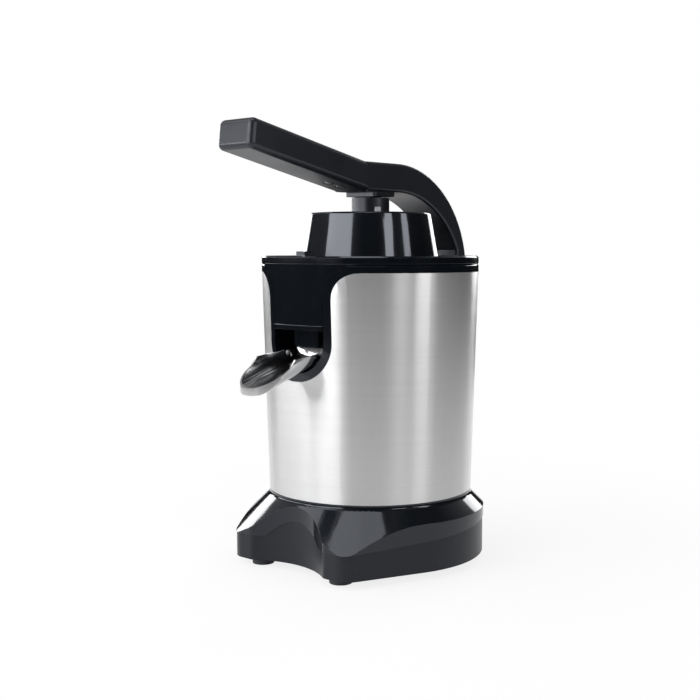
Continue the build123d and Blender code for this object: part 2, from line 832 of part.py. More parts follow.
def gearbox_cover():
    """The gearbox's lid, with the drive bush's boss and standoffs up to the deck."""
    cover = gear_hull(chamber_margin + case_wall, cover_low, cover_top)
    bush_outer = shaft_radius + bush_wall + seat_gap
    cover += disc(bush_outer + bush_boss_wall, cover_low, bush_top)
    for at in standoff_places():
        cover += disc(standoff_radius, cover_low, deck_low, at)
        cover -= disc(screw_radius + seat_gap, cover_low - overrun, deck_low + overrun, at)
    cover -= disc(bush_outer, cover_low - overrun, bush_top + overrun)
    return cover - disc(arbor_radius + bush_wall + seat_gap, 0, deck_low, idler_at)


def gearbox_screws():
    """The long screws that hang the gearbox from the deck."""
    return Compound([screw(deck_top - case_low, at, case_low) for at in standoff_places()])


def drive_bushes():
    """The two bronze bushes of the drive shaft."""
    outer = shaft_radius + bush_wall
    upper = tube(shaft_radius + running_gap, outer, cover_low, bush_top)
    lower = tube(shaft_radius + running_gap, outer, case_low, case_low + lower_bush_height)
    return Compound([upper, lower])


def idler_bushes():
    """The two bushes of the idler's arbor, in the case and in the cover."""
    outer = arbor_radius + bush_wall
    spans = ((case_low, chamber_low), (cover_low, cover_top))
    return Compound([tube(arbor_radius + running_gap, outer, low, high, idler_at) for low, high in spans])


def motor_bushes():
    """The two bushes of the motor's shaft, in the gearbox's floor and in the bracket."""
    outer = motor_shaft_radius + bush_wall
    spans = ((case_low, chamber_low), (bracket_low, bracket_top))
    bore = motor_shaft_radius + running_gap
    return Compound([tube(bore, outer, low, high, motor_at) for low, high in spans])


def return_spring():
    """The spring that lifts the cone again, wound round the shaft under the thrust cup."""
    rise = spring_height - 2 * spring_wire
    path = Pos(0, 0, bush_top + spring_wire) * Helix(rise / spring_turns, rise, spring_radius)
    section = Plane(path @ 0, z_dir=path % 0) * Circle(spring_wire / 2)
    return sweep(section, path)


def thrust_cup():
    """The cup between spring and shaft clip, with an arm over the switch."""
    cup = disc(cup_radius, cup_low, cup_low + cup_thickness)
    cup += block((-cup_arm_length, 0), (-cup_arm_half, cup_arm_half), (cup_low, cup_low + cup_thickness))
    return cup - disc(shaft_radius + running_gap, cup_low - overrun, cup_low + overrun)


def switch_body():
    """The micro switch on the gearbox cover."""
    length, width, height = switch_size
    x_span = (switch_place - length / 2, switch_place + length / 2)
    body = block(x_span, (-width / 2, width / 2), (cover_top, cover_top + height))
    hole_low = plunger_low - press_travel - free_gap
    return body - disc(plunger_radius + running_gap, hole_low, deck_low, (switch_place, 0))


def switch_plunger():
    """The switch's plunger, just under the cup's arm."""
    return disc(plunger_radius, plunger_low, cup_low - free_gap, (switch_place, 0))


def motor_stator():
    """The motor's laminated stator ring."""
    ring = tube(stator_bore, stator_radius, stator_low, stator_top, motor_at)
    for at in motor_bolt_places():
        ring -= disc(motor_bolt_radius + seat_gap, 0, stator_top + overrun, at)
    return ring


def motor_coils():
    """The four heads of the field coils, over and under the stator."""
    coils = []
    x_span = (motor_x - coil_half, motor_x + coil_half)
    for low in (stator_top, stator_low - coil_overhang):
        z_span = (low, low + coil_overhang)
        ring = tube(coil_inner, coil_outer, *z_span, motor_at)
        for side in (1, -1):
            y_span = sorted((motor_y, motor_y + side * coil_outer))
            coils.append(ring & block(x_span, y_span, z_span))
    return Compound(coils)


def rotor_core():
    """The motor's slotted rotor."""
    core = disc(rotor_radius, stator_low, stator_top, motor_at)
    slot = Pos(rotor_radius, 0, 0) * Box(rotor_slot_depth, rotor_slot_width, sleeve_top)
    for turn in around(rotor_slots):
        core -= Pos(motor_x, motor_y, stator_low) * turn * slot
    return core - disc(motor_shaft_radius + seat_gap, 0, stator_top + overrun, motor_at)


def motor_shaft():
    """The motor's shaft, from the fan up to the pinion."""
    return disc(motor_shaft_radius, fan_low - seat_gap, wheel_low + pinion_width + seat_gap, motor_at)


def commutator():
    """The copper commutator under the rotor."""
    low = stator_low - commutator_drop
    return tube(motor_shaft_radius + seat_gap, commutator_radius, low, low + commutator_height, motor_at)


def motor_bracket():
    """The motor's lower bracket, with legs up to the stator and posts for the brushes."""
    reach = motor_bolt_circle + standoff_radius
    plate = (bracket_low, bracket_top)
    width = (motor_y - bracket_half, motor_y + bracket_half)
    bracket = block((motor_x - reach, motor_x + reach), width, plate)
    brush_reach = commutator_radius + brush_length
    box = brush_half + brush_box_wall
    bracket += block((motor_x - box, motor_x + box), (motor_y - brush_reach, motor_y + brush_reach), plate)
    for side in (1, -1):
        y_span = sorted((motor_y + side * (brush_reach - box), motor_y + side * brush_reach))
        bracket += block((motor_x - box, motor_x + box), y_span, (bracket_low, brush_z - box))
    for at in motor_bolt_places():
        bracket += disc(standoff_radius, bracket_low, stator_low, at)
        bracket -= disc(motor_bolt_radius + seat_gap, 0, stator_low + overrun, at)
    return bracket - disc(motor_shaft_radius + bush_wall + seat_gap, 0, bracket_top + overrun, motor_at)


def brush_boxes():
    """The brass boxes that guide the brushes."""
    outer = brush_half + brush_box_wall
    inner = brush_half + seat_gap
    way_height = (brush_z - inner, brush_z + inner)
    way = block((motor_x - inner, motor_x + inner), (-rim_radius, rim_radius), way_height)
    boxes = []
    for side in (1, -1):
        near = motor_y + side * (commutator_radius + brush_box_wall)
        far = motor_y + side * (commutator_radius + brush_length)
        height = (brush_z - outer, brush_z + outer)
        shell = block((motor_x - outer, motor_x + outer), sorted((near, far)), height)
        boxes.append(shell - way)
    return Compound(boxes)


def carbon_brushes():
    """The two carbon brushes against the commutator."""
    x_span = (motor_x - brush_half, motor_x + brush_half)
    z_span = (brush_z - brush_half, brush_z + brush_half)
    brushes = []
    for side in (1, -1):
        near = motor_y + side * (commutator_radius + seat_gap)
        far = motor_y + side * (commutator_radius + brush_length)
        brushes.append(block(x_span, sorted((near, far)), z_span))
    return Compound(brushes)


def motor_bolts():
    """The two long bolts through bracket, stator and gearbox floor."""
    bolts = []
    for at in motor_bolt_places():
        bolt = disc(motor_bolt_radius, bracket_low, case_low + case_floor / 2, at)
        bolts.append(bolt + disc(screw_head_radius, bracket_low - screw_head_height, bracket_low, at))
    return Compound(bolts)


def cooling_fan():
    """The fan at the lower end of the motor's shaft."""
    fan = disc(fan_radius, fan_low + fan_height - fan_blade_thickness, fan_low + fan_height, motor_at)
    fan += disc(fan_hub_radius, fan_low, fan_low + fan_height, motor_at)
    blade = Pos(fan_radius / 2, 0, 0) * Box(fan_radius, fan_blade_thickness, fan_height, align=UPRIGHT)
    for turn in around(fan_blades):
        fan += Pos(motor_x, motor_y, fan_low) * turn * blade
    return fan - disc(motor_shaft_radius + seat_gap, 0, stator_low, motor_at)


def cap_radius(height):
    """The press cap's outer radius at a height."""
    return cap_rim_radius + (cap_top_radius - cap_rim_radius) * (height - rim_top) / cap_rise


def press_cap():
    """The tapered cap that presses the fruit, open underneath."""
    ceiling = cap_top - cap_wall
    cap = turned_points((0, cap_low), (cap_radius(cap_low), cap_low), (cap_top_radius, cap_top), (0, cap_top))
    cap = fillet(cap.edges().group_by(Axis.Z)[-1], cap_edge_radius)
    below = cap_low - overrun
    inner_foot = cap_radius(below) - cap_wall
    inner_top = cap_radius(ceiling) - cap_wall
    return cap - turned_points((0, below), (inner_foot, below), (inner_top, ceiling), (0, ceiling))


def cap_hub():
    """The round hub on the cap, with a flat stem that hangs on the pin in the lever."""
    hub = disc(hub_radius, cap_top, hub_top)
    hub += block((-stem_half_x, stem_half_x), (-stem_half_y, stem_half_y), (cap_top, hub_top + stem_height))
    return hub - rod_x(cap_pin_radius + running_gap, -lever_half, lever_half, 0, cap_pin_z)


def hub_clip():
    """The small clip on the side of the hub."""
    depth, width, height = hub_clip_size
    clip = Pos(hub_radius, 0, cap_top) * Box(depth, width, height, align=UPRIGHT)
    clip = Rot(0, 0, hub_clip_angle) * clip
    return clip - disc(hub_radius + seat_gap, 0, hub_top)


def liner_form(inset):
    """The domed hollow of the cap's liner, drawn in by an inset."""
    low = cap_low + liner_lift
    foot = cap_radius(low) - cap_wall - liner_gap
    top = cap_top - cap_wall - seat_gap
    middle = (foot * liner_mid_radius_share - inset, low + (top - low) * liner_mid_height_share - inset)
    curve = ThreePointArc((foot - inset, low), middle, (hub_radius - inset, top - inset))
    return turned(joined_outline(curve, Line((0, top - inset), (0, low))))


def cap_liner():
    """The domed liner inside the cap, with ribs that hold the fruit still."""
    shell = liner_form(0) - liner_form(liner_wall)
    ring = liner_form(liner_wall - seat_gap) - liner_form(liner_wall + liner_rib_depth)
    width = (-liner_wall / 2, liner_wall / 2)
    blade = block((stem_half_x, cap_rim_radius + overrun), width, (cap_low, cap_top))
    for turn in around(liner_ribs):
        shell += ring & (turn * blade)
    return shell


def cap_pivot_pin():
    """The pin in the lever that the cap hangs on."""
    reach = lever_half - cap_pin_radius
    return rod_x(cap_pin_radius, -reach, reach, 0, cap_pin_z)


def grip_frame():
    """The grip's own frame: its origin at the joint's middle, -Y along the grip."""
    return Pos(0, -grip_joint_y, lever_top - arm_thickness / 2) * Rot(-grip_rise, 0, 0)


def grip_tongue(gap):
    """The arm's tongue inside the grip, grown by a gap."""
    size = (2 * (grip_tongue_half + gap), grip_tongue_length + overrun + gap, grip_tongue_thickness + 2 * gap)
    return grip_frame() * Pos(0, overrun, 0) * Box(*size, align=(Align.CENTER, Align.MAX, Align.CENTER))


def grip_screw_holes(radius, low, high):
    """A column at each grip screw, square to the grip's underside."""
    columns = [
        grip_frame() * Pos(0, -share * grip_tongue_length, 0) * disc(radius, low, high)
        for share in grip_screw_shares
    ]
    return columns[0] + columns[1:]


def lever_arm():
    """The arched arm from the hinge over the cap, with the cap's boss and a tongue for the grip."""
    outer_centre = (arch_start, lever_top - arch_outer_radius)
    inner_centre = (arch_start, arm_low - arch_inner_radius)
    outer_end = math.degrees(math.atan2(arch_rise, hinge_y - arch_start))
    inner_end = math.asin(arch_inner_end / arch_inner_radius)
    side_y = arch_start + arch_inner_radius * math.cos(inner_end) - hinge_y
    side_z = inner_centre[1] + arch_inner_end - hinge_z
    lean = math.acos(knuckle_radius / math.hypot(side_y, side_z))
    knuckle_end = math.degrees(math.atan2(side_z, side_y) + lean)
    outline = joined_outline(
        arc_about(outer_centre, arch_outer_radius, 90, outer_end),
        arc_about((hinge_y, hinge_z), knuckle_radius, outer_end + 360, knuckle_end),
        arc_about(inner_centre, arch_inner_radius, math.degrees(inner_end), 90),
        Line((-grip_joint_y, arm_low), (-grip_joint_y, lever_top)),
    )
    arm = extrude(Plane.YZ * make_face(outline), lever_half, both=True)
    joint = -grip_joint_y + seat_gap
    sides = [e for e in arm.edges() if abs(e.center().X) > lever_half - seat_gap and e.center().Y > joint]
    arm = fillet(sides, lever_edge_radius)
    arm -= rod_x(hinge_pin_radius + running_gap, -rim_radius, rim_radius, hinge_y, hinge_z)
    boss_half_x = lever_half - lever_edge_radius - seat_gap
    boss = block((-boss_half_x, boss_half_x), (-boss_half_y, boss_half_y), (boss_low, arm_low + overrun))
    arm += fillet(boss.edges().filter_by(Axis.Z), lever_edge_radius)
    arm += grip_tongue(0)
    arm -= block(
        (-stem_half_x - free_gap, stem_half_x + free_gap),
        (-stem_half_y - stem_swing, stem_half_y + stem_swing),
        (boss_low - overrun, hub_top + stem_height + stem_swing),
    )
    pin_end = lever_half - cap_pin_radius + seat_gap
    arm -= rod_x(cap_pin_radius + seat_gap, -lever_half - overrun, pin_end, 0, cap_pin_z)
    return arm - grip_screw_holes(screw_radius + seat_gap, -arm_thickness, 0)


def handle_grip():
    """The straight grip, rising to the front, with a socket for the arm's tongue."""
    slope = math.tan(math.radians(grip_rise))
    joint = -grip_joint_y - seat_gap
    end = grip_end_y - grip_joint_y
    lean = end - grip_end_lean
    outline = Polyline(
        (joint, arm_low),
        (-grip_end_y, arm_low + end * slope),
        (-grip_joint_y - lean, lever_top + lean * slope),
        (joint, lever_top),
        close=True,
    )
    grip = extrude(Plane.YZ * make_face(outline.edges()), lever_half, both=True)
    grip = fillet([e for e in grip.edges() if e.center().Y < joint - seat_gap], grip_edge_radius)
    half = arm_thickness * math.cos(math.radians(grip_rise)) / 2
    grip -= grip_tongue(seat_gap)
    grip -= grip_screw_holes(screw_radius + seat_gap, -arm_thickness, 0)
    head_top = screw_head_height + seat_gap - half
    return grip - grip_screw_holes(screw_head_radius + seat_gap, -arm_thickness, head_top)


def handle_screws():
    """The screws under the grip that hold it to the arm's tongue."""
    half = arm_thickness * math.cos(math.radians(grip_rise)) / 2
    shank = half - screw_head_height - seat_gap
    screws = []
    for share in grip_screw_shares:
        place = grip_frame() * Pos(0, -share * grip_tongue_length, 0)
        screws.append(place * screw(shank, (0, 0), screw_head_height - half))
    return Compound(screws)


def spout_form(inset):
    """The spout's outer or inner form: a round-cornered trough that slopes down to a rounded nose."""
    half = spout_half - inset
    corner = spout_corner_radius - inset
    section = joined_outline(
        arc_about((-half + corner, corner), corner, 180, 270),
        arc_about((half - corner, corner), corner, 270, 360),
        Line((half, spout_nose), (-half, spout_nose)),
    )
    slope = math.radians(spout_slope)
    down = (0, -math.cos(slope), -math.sin(slope))
    rear = Plane((0, -spout_rear, spout_floor), x_dir=(1, 0, 0), z_dir=down)
    trough = extrude(rear * Pos(0, inset, 0) * make_face(section), spout_nose, both=True)
    nose_y = spout_nose - spout_half
    rear_y = -spout_rear - inset
    plan = Pos(0, -nose_y) * Circle(half)
    corners = [(half, -nose_y), (half, rear_y), (-half, rear_y), (-half, -nose_y)]
    plan += make_face(Polyline(*corners, close=True))
    return trough & (Pos(0, 0, base_height) * extrude(plan, sleeve_height))


def spout():
    """The tilting spout, cut along its walls' top edge, with holes for its pivot pins."""
    slope = math.tan(math.radians(spout_slope))
    nose_top = spout_floor - (spout_nose - spout_rear) * slope + nose_rise
    rear_top = spout_pivot_z + spout_wall_top
    ear_top = rear_top - ear_drop
    side = Polyline(
        (0, rear_top),
        (-spout_rear, rear_top),
        (-ear_front, ear_top),
        (-ear_front - ear_step, ear_top - ear_step_drop),
        (-spout_nose, nose_top),
        (-spout_nose - overrun, nose_top),
        (-spout_nose - overrun, base_height),
        (0, base_height),
        close=True,
    )
    keep = extrude(Plane.YZ * make_face(side.edges()), spout_half + overrun, both=True)
    trough = (spout_form(0) & keep) - spout_form(spout_wall)
    hole = spout_pin_radius + running_gap
    return trough - rod_x(hole, -rim_radius, rim_radius, -spout_pivot_y, spout_pivot_z)


def spout_pins():
    """The two stub pins in the pocket's walls that the spout tilts on."""
    inner = spout_half - spout_wall - seat_gap
    pocket_curve = notch_corner - trim_width + pocket_wall
    drop = notch_floor + notch_corner - spout_pivot_z + spout_pin_radius
    outer = notch_half - notch_corner + math.sqrt(pocket_curve**2 - drop**2)
    pin = rod_x(spout_pin_radius, inner, outer, -spout_pivot_y, spout_pivot_z)
    return Compound([pin, mirror(pin, Plane.YZ)])


pieces = (
    base_skirt, base_shell, bottom_plate, rubber_feet, base_screws, cord_grommet,
    steel_sleeve, inner_body, upper_collar, hinge_pin, juice_collector, shaft_seal, strainer,
    gearbox_case, gearbox_cover, gearbox_screws, drive_bushes, idler_bushes, motor_bushes,
    motor_stator, motor_coils, motor_bracket, motor_bolts, brush_boxes, carbon_brushes,
    switch_body, switch_plunger, return_spring, thrust_cup,
    reamer_cone, drive_shaft, shaft_clip, output_gear, idler_gear, idler_arbor,
    rotor_core, motor_shaft, motor_pinion, commutator, cooling_fan,
    press_cap, cap_hub, hub_clip, cap_liner, cap_pivot_pin, lever_arm, handle_grip, handle_screws,
    spout, spout_pins,
)

os.makedirs("parts", exist_ok=True)
for piece in pieces:
    export_step(piece(), f"parts/{piece.__name__}.step")
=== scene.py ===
"""Looks of a lever citrus juicer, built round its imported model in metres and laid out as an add-on."""

import json
import math

import bmesh
import bpy
from bpy.props import FloatProperty, FloatVectorProperty, PointerProperty
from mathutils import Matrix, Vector


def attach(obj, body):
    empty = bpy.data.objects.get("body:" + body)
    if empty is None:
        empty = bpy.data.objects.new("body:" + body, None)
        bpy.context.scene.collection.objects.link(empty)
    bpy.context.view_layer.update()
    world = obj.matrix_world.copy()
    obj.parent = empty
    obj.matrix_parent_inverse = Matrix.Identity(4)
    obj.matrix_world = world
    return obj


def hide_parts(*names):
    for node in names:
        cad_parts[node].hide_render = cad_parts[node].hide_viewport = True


bl_info = {
    "name": "Lever citrus juicer",
    "version": (1, 0, 0),
    "blender": (4, 5, 0),
    "location": "3D View > Sidebar > Juicer",
    "description": "Finishes and small parts for a lever citrus juicer",
    "category": "Object",
}

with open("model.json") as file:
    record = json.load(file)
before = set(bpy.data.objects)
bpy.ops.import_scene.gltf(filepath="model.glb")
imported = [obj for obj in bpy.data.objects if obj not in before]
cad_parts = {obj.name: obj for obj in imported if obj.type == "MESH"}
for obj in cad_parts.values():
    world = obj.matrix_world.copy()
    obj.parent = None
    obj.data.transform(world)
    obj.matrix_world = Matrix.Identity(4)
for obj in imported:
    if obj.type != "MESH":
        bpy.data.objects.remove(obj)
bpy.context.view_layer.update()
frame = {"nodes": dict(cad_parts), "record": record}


def length(name, description, default):
    """A size in metres that a user may change."""
    return FloatProperty(name=name, description=description, default=default, unit="LENGTH", precision=5)


def amount(name, description, default):
    """A plain number that a user may change."""
    return FloatProperty(name=name, description=description, default=default, precision=4)


def colour(name, description, default):
    """A colour that a user may change."""
    return FloatVectorProperty(
        name=name, description=description, default=default, subtype="COLOR", size=3, min=0, max=1
    )


def angle(name, description, degrees):
    """An angle that a user may change."""
    return FloatProperty(name=name, description=description, default=math.radians(degrees), subtype="ANGLE")


def power(name, description, default):
    """A lamp's power that a user may change."""
    return FloatProperty(name=name, description=description, default=default, unit="POWER")


class JuicerSizes(bpy.types.PropertyGroup):
    """Sizes of the small forms that the finishes add."""

    edge: length("Moulded edge", "Width of the soft edge on moulded parts", 0.0005)
    sheet_edge: length("Sheet edge", "Width of the soft edge on sheet metal", 0.0002)
    head_radius: length("Screw head radius", "Radius of a screw's head", 0.0034)
    head_height: length("Screw head height", "Height of a screw's head", 0.002)
    recess_width: length("Recess width", "Width of the cross recess in a screw's head", 0.0009)
    recess_depth: length("Recess depth", "Depth of the cross recess in a screw's head", 0.0011)
    shank_radius: length("Shank radius", "Radius of a screw's shank", 0.0018)
    grip_edge: length("Grip edge", "Width of the soft edges where the grip meets the arm", 0.00104)
    brush_lines: amount("Brush lines", "Brush marks per metre of the steel sleeve's height", 2600.0)


class JuicerColours(bpy.types.PropertyGroup):
    """Colours of the finishes."""

    steel: colour("Brushed steel", "The steel sleeve", (0.60, 0.60, 0.605))
    bright_steel: colour("Polished steel", "The spout", (0.70, 0.70, 0.71))
    plated_steel: colour("Plated steel", "Pins, screws and shafts", (0.46, 0.46, 0.47))
    gloss_black: colour("Gloss black", "Cap, collar, bowl and base", (0.0032, 0.0042, 0.0058))
    satin_black: colour("Satin black", "Lever and grip", (0.0085, 0.0098, 0.0125))
    skirt_grey: colour("Skirt grey", "The upright wall of the base", (0.0085, 0.0092, 0.0115))
    inner_black: colour("Inner black", "Moulded parts inside", (0.02, 0.02, 0.02))
    rubber: colour("Rubber", "Feet and grommet", (0.018, 0.018, 0.018))
    seal: colour("Seal", "The shaft's seal", (0.09, 0.09, 0.09))
    # The clip's light grey is a painted highlight: it stands in for the glint on the black hub.
    clip: colour("Clip", "The clip on the hub", (0.40, 0.40, 0.41))
    nylon: colour("Nylon", "Gears and cup", (0.70, 0.67, 0.58))
    bronze: colour("Bronze", "Bushes", (0.45, 0.29, 0.14))
    brass: colour("Brass", "Brush boxes and pinion", (0.66, 0.48, 0.20))
    copper: colour("Copper", "Coils and commutator", (0.55, 0.22, 0.10))
    lamination: colour("Laminations", "Stator and rotor", (0.20, 0.20, 0.21))
    carbon: colour("Carbon", "Brushes", (0.03, 0.03, 0.03))
    plunger: colour("Plunger", "The switch's plunger", (0.50, 0.06, 0.04))


class JuicerStage(bpy.types.PropertyGroup):
    """The camera, the lamps and the floor."""

    azimuth: angle("Azimuth", "Turn of the camera about the body", 42)
    tilt: angle("Tilt", "How far the camera looks down", 5)
    distance: length("Distance", "From the body's axis to the camera", 0.808)
    height: length("Height", "Of the camera above the table", 0.214)
    lens: amount("Lens", "Focal length in millimetres", 59.657)
    shift_x: amount("Shift across", "The lens's shift across", -0.0289)
    shift_y: amount("Shift up", "The lens's shift up", 0.0014)
    key_power: power("Low lamps", "The wide low lamps at the left and the front", 8.5)
    high_power: power("High lamp", "The high lamp at the left", 5.0)
    front_power: power("Front lamp", "The wide lamp at the front left", 7.0)
    side_power: power("Side lamps", "The three lamps at the right", 2.2)
    back_power: power("Back lamps", "The two lamps behind", 5.0)
    top_power: power("Top lamp", "The lamp overhead", 3.5)
    room: amount("Room light", "Strength of the room's soft light", 0.38)


seen_rays = ("Is Camera Ray", "Is Glossy Ray", "Is Transmission Ray")


class Value:
    """A socket of a finish, with the sums that the finishes use."""

    def __init__(self, finish, socket):
        self.finish = finish
        self.socket = socket

    def sum(self, operation, first, second):
        return self.finish.node("ShaderNodeMath", {"operation": operation}, {0: first, 1: second})

    def __add__(self, other):
        return self.sum("ADD", self, other)

    __radd__ = __add__

    def __sub__(self, other):
        return self.sum("SUBTRACT", self, other)

    def __rsub__(self, other):
        return self.sum("SUBTRACT", other, self)

    def __mul__(self, other):
        return self.sum("MULTIPLY", self, other)

    __rmul__ = __mul__


class Tree:
    """Builds the nodes of a material or of the world."""

    def __init__(self, tree):
        self.tree = tree

    def node(self, kind, settings=None, inputs=None, output=0):
        made = self.tree.nodes.new(kind)
        for name, value in (settings or {}).items():
            if name == "stops":
                self.stops(made.color_ramp, value)
            else:
                setattr(made, name, value)
        for key, value in (inputs or {}).items():
            self.feed(made.inputs[key], value)
        return Value(self, made.outputs[output])

    def stops(self, ramp, stops):
        while len(ramp.elements) < len(stops):
            ramp.elements.new(0.5)
        for element, (place, level) in zip(ramp.elements, stops):
            element.position = place
            element.color = (level, level, level, 1)

    def feed(self, socket, value):
        if isinstance(value, Value):
            self.tree.links.new(value.socket, socket)
        elif hasattr(value, "__len__") and socket.type == "RGBA":
            socket.default_value = (*value[:3], 1)
        else:
            socket.default_value = value

    def mixed(self, low, high, factor):
        inputs = {0: factor, 6: low, 7: high}
        return self.node("ShaderNodeMix", {"data_type": "RGBA"}, inputs, 2)

    def ramped(self, value, start, end, low, high):
        inputs = {0: value, 1: start, 2: end, 3: low, 4: high}
        return self.node("ShaderNodeMapRange", {"interpolation_type": "SMOOTHSTEP"}, inputs)

    def rays(self):
        path = self.tree.nodes.new("ShaderNodeLightPath")
        return [Value(self, path.outputs[name]) for name in seen_rays]


class Finish(Tree):
    """A material with one surface shader and the patterns that feed it."""

    def __init__(self, name, **sockets):
        self.material = bpy.data.materials.new(name)
        self.material.use_nodes = True
        super().__init__(self.material.node_tree)
        self.tree.nodes.clear()
        self.surface = self.tree.nodes.new("ShaderNodeBsdfPrincipled")
        output = self.tree.nodes.new("ShaderNodeOutputMaterial")
        self.tree.links.new(self.surface.outputs[0], output.inputs[0])
        self.give(**sockets)

    def give(self, **sockets):
        for name, value in sockets.items():
            self.feed(self.surface.inputs[name.replace("_", " ").title().replace("Ior", "IOR")], value)

    def colour(self, base, low, high, pattern):
        self.give(base_color=self.mixed(toned(base, low), toned(base, high), pattern))

    def place(self, scale):
        where = self.node("ShaderNodeTexCoord", output=3)
        return self.node("ShaderNodeMapping", {}, {"Vector": where, "Scale": scale})

    def noise(self, scale, detail=3.0, rough=0.5):
        inputs = {"Vector": self.place(scale), "Scale": 1.0, "Detail": detail, "Roughness": rough}
        return self.node("ShaderNodeTexNoise", {}, inputs)

    def layers(self, scale):
        settings = {"wave_type": "BANDS", "bands_direction": "Z"}
        return self.node("ShaderNodeTexWave", settings, {"Vector": self.place(even(1.0)), "Scale": scale})

    def bump(self, height, strength, distance):
        inputs = {"Strength": strength, "Distance": distance, "Height": height}
        return self.node("ShaderNodeBump", {}, inputs)


# The tint of the light that black plastic throws back.
cool = (0.86, 0.9, 1.0)


def even(scale):
    """One scale in all three directions."""
    return (scale, scale, scale)


def toned(base, share):
    """A colour made lighter or darker by a share."""
    return tuple(min(1.0, part * share) for part in base)


def brushed(name, base, lines):
    """Steel brushed round its axis: fine level lines in colour, roughness and relief."""
    made = Finish(name, metallic=1.0, anisotropic=0.85, anisotropic_rotation=0.25)
    fine = made.noise((9.0, 9.0, lines), 4.0, 0.62)
    broad = made.noise((3.0, 3.0, lines / 9), 2.0)
    streak = fine * 0.65 + broad * 0.35
    made.colour(base, 0.90, 1.10, streak)
    made.give(roughness=streak * 0.16 + 0.24, normal=made.bump(streak, 0.045, 0.0004))
    return made.material


def polished(name, base, rough):
    """Bright metal with faint smears and a slow ripple from pressing."""
    made = Finish(name, metallic=1.0)
    smear = made.noise(even(60.0), 3.0, 0.6)
    ripple = made.noise(even(24.0), 1.0)
    made.colour(base, 0.94, 1.05, smear)
    made.give(roughness=smear * 0.07 + rough, normal=made.bump(ripple, 0.05, 0.0005))
    return made.material


def turned_metal(name, base, rough):
    """Plain machined or plated metal with fine tool marks."""
    made = Finish(name, metallic=1.0)
    marks = made.noise((500.0, 500.0, 2600.0), 2.0)
    made.colour(base, 0.85, 1.15, marks)
    made.give(roughness=marks * 0.15 + rough, normal=made.bump(marks, 0.05, 0.0003))
    return made.material


def gloss_plastic(name, base, rough):
    """Smooth moulded plastic: a faint waviness of the mould and light wipe marks."""
    made = Finish(name, specular_ior_level=0.5, specular_tint=cool)
    wave = made.noise(even(38.0), 1.0)
    wipe = made.noise((170.0, 170.0, 40.0), 3.0, 0.6)
    made.colour(base, 0.85, 1.2, wipe)
    made.give(roughness=wipe * 0.08 + rough, normal=made.bump(wave, 0.05, 0.0005))
    return made.material


def grained_plastic(name, base, rough, grain, relief, shine=0.5):
    """Moulded plastic with a fine spark-eroded grain."""
    made = Finish(name, specular_ior_level=shine, specular_tint=cool)
    speck = made.noise(even(grain), 2.0, 0.6)
    cloud = made.noise(even(22.0), 2.0)
    made.colour(base, 0.8, 1.25, cloud * 0.6 + speck * 0.4)
    made.give(roughness=cloud * 0.1 + rough, normal=made.bump(speck, relief, 0.0003))
    return made.material


def wound_copper(name, base):
    """Enamelled wire, laid in close turns."""
    made = Finish(name, metallic=1.0, coat_weight=0.5, coat_roughness=0.2)
    turns = made.layers(260.0)
    tint = made.noise(even(90.0), 2.0)
    made.colour(base, 0.7, 1.2, tint * 0.5 + turns * 0.5)
    made.give(roughness=turns * 0.15 + 0.3, normal=made.bump(turns, 0.6, 0.0006))
    return made.material


def stacked_sheets(name, base):
    """Pressed steel sheets, stacked upwards."""
    made = Finish(name, metallic=1.0)
    sheets = made.layers(310.0)
    tint = made.noise(even(120.0), 3.0)
    made.colour(base, 0.7, 1.25, tint)
    made.give(roughness=tint * 0.2 + 0.35, normal=made.bump(sheets, 0.5, 0.0003))
    return made.material


finishes = {}


def make_finishes(sizes, colours):
    """Every finish of the juicer, by its slot in the record."""
    black = tuple(colours.gloss_black)
    satin = tuple(colours.satin_black)
    inner = tuple(colours.inner_black)
    finishes.update(
        brushed_steel=brushed("brushed_steel", tuple(colours.steel), sizes.brush_lines),
        polished_steel=polished("polished_steel", tuple(colours.bright_steel), 0.12),
        tool_steel=turned_metal("plated_steel", tuple(colours.plated_steel), 0.22),
        gloss_black=gloss_plastic("gloss_black", black, 0.05),
        satin_black=grained_plastic("satin_black", satin, 0.30, 2400.0, 0.08),
        matte_grey=grained_plastic("skirt_black", tuple(colours.skirt_grey), 0.30, 2000.0, 0.06, 0.3),
        inner_black=grained_plastic("inner_black", inner, 0.45, 1500.0, 0.15),
        liner_plastic=grained_plastic("liner_black", toned(inner, 1.6), 0.32, 1500.0, 0.08),
        cone_plastic=gloss_plastic("cone_black", toned(inner, 1.3), 0.14),
        rubber_black=grained_plastic("rubber_black", tuple(colours.rubber), 0.62, 900.0, 0.3),
        seal_rubber=grained_plastic("seal_rubber", tuple(colours.seal), 0.55, 900.0, 0.2),
        # The clip's light grey finish is a painted highlight on the hub, not the clip's own colour.
        clip_grey=grained_plastic("clip_grey", tuple(colours.clip), 0.35, 1500.0, 0.06),
        gear_nylon=grained_plastic("gear_nylon", tuple(colours.nylon), 0.38, 1100.0, 0.06),
        bronze=turned_metal("sintered_bronze", tuple(colours.bronze), 0.4),
        brass_part=turned_metal("brass", tuple(colours.brass), 0.24),
        copper_wire=wound_copper("copper_wire", tuple(colours.copper)),
        lamination=stacked_sheets("lamination", tuple(colours.lamination)),
        carbon=grained_plastic("carbon", tuple(colours.carbon), 0.6, 1300.0, 0.3),
        switch_plastic=grained_plastic("switch_plastic", toned(inner, 1.8), 0.4, 1300.0, 0.1),
        plunger_plastic=gloss_plastic("plunger_red", tuple(colours.plunger), 0.2),
    )


slots = {part["node"]: part["material_slot"] for part in frame["record"]["subparts"]}
carrier = {node: body for body, nodes in frame["record"]["behaviour"]["bodies"].items() for node in nodes}


def dress(node):
    """Gives a CAD node its finish."""
    mesh = frame["nodes"][node].data
    mesh.materials.clear()
    mesh.materials.append(finishes[slots[node]])


def stand_in(piece, *nodes):
    """Lets a finished piece stand for CAD nodes of one body and one slot."""
    first = nodes[0]
    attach(piece, carrier[first])
    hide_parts(*nodes)
    return piece


